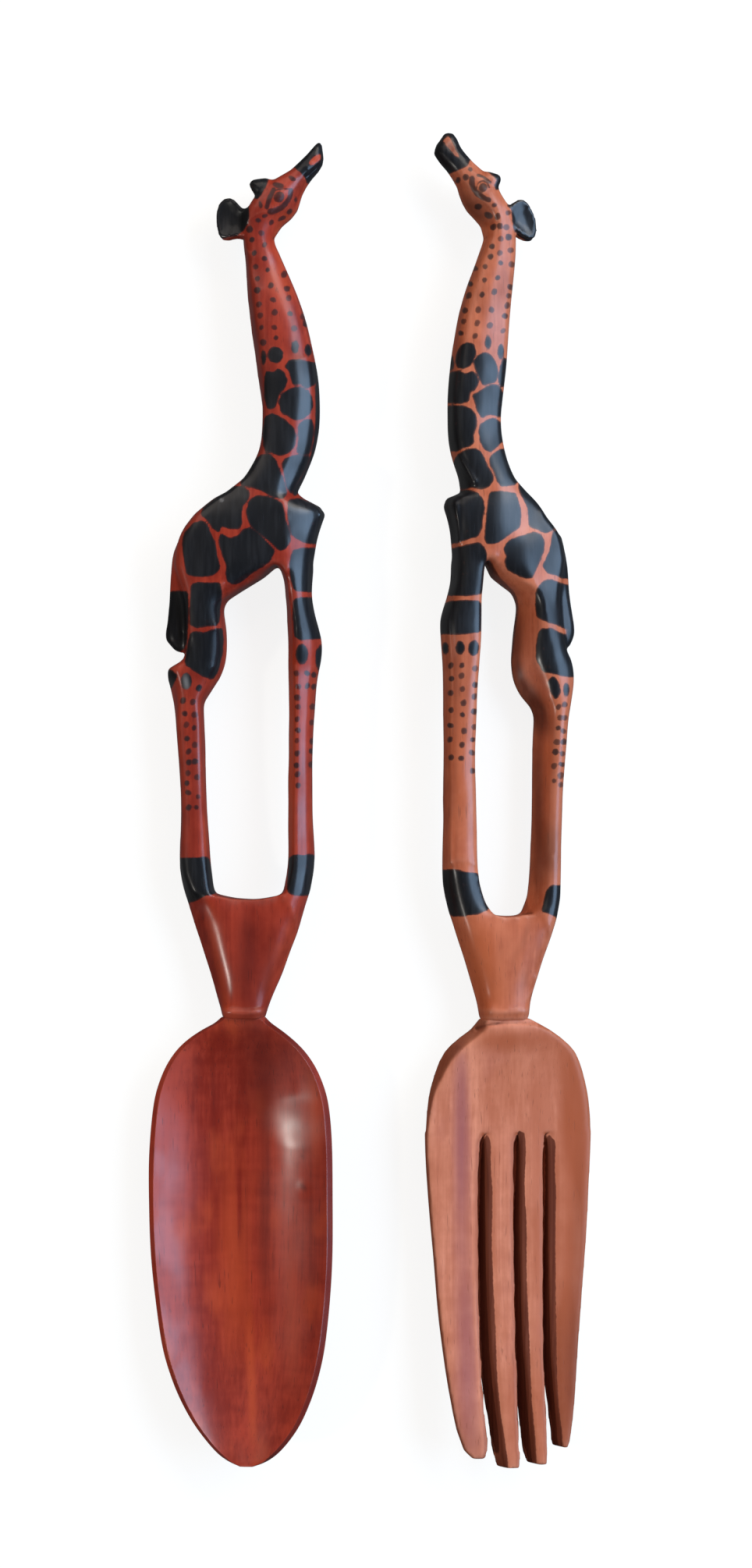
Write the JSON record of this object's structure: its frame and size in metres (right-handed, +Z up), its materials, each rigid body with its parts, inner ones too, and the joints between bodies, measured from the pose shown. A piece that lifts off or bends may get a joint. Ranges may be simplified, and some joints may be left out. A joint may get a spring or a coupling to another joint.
{
  "type": "carved salad servers",
  "caption": "Hand-carved wooden salad spoon and slotted fork with giraffe handles, painted with dark patches, dots and hooves, lying side by side.",
  "frame": {"origin": "on the surface that the pair lies on, below the middle of its bounding box", "axes": "+Z up out of the faces, +Y along both servers from the bowl and tines towards the giraffes' heads, +X from the spoon to the fork"},
  "size_m": [0.1138, 0.3414, 0.0185],
  "materials": {
    "spoon_wood": "red-brown hardwood, hand-carved along the grain, with a worn glossy varnish",
    "fork_wood": "orange-brown hardwood, hand-carved along the grain, with a thin satin varnish",
    "black_paint": "brushed black paint over the carved wood, semi-gloss, thin on the edges"
  },
  "bodies": {
    "spoon": {"spoon_bowl": "spoon_wood", "spoon_yoke": "spoon_wood", "spoon_front_hoof": "black_paint", "spoon_front_leg": "spoon_wood", "spoon_front_thigh": "spoon_wood", "spoon_hind_hoof": "black_paint", "spoon_hind_leg": "spoon_wood", "spoon_haunch": "spoon_wood", "spoon_tail": "black_paint", "spoon_torso": "spoon_wood", "spoon_neck": "spoon_wood", "spoon_head": "spoon_wood", "spoon_muzzle": "black_paint", "spoon_ears": "black_paint", "spoon_horns": "black_paint"},
    "fork": {"fork_root": "fork_wood", "fork_tine_1": "fork_wood", "fork_tine_2": "fork_wood", "fork_tine_3": "fork_wood", "fork_tine_4": "fork_wood", "fork_yoke": "fork_wood", "fork_front_hoof": "black_paint", "fork_front_leg": "fork_wood", "fork_front_thigh": "fork_wood", "fork_hind_hoof": "black_paint", "fork_hind_leg": "fork_wood", "fork_haunch": "fork_wood", "fork_tail": "black_paint", "fork_torso": "fork_wood", "fork_neck": "fork_wood", "fork_head": "fork_wood", "fork_muzzle": "black_paint", "fork_ears": "black_paint", "fork_horns": "black_paint"}
  },
  "joints": [
    {"name": "fork_lift", "type": "slide", "parent": "spoon", "child": "fork", "axis": [0, 0, 1], "range_m": [0, 0.12]}
  ]
}
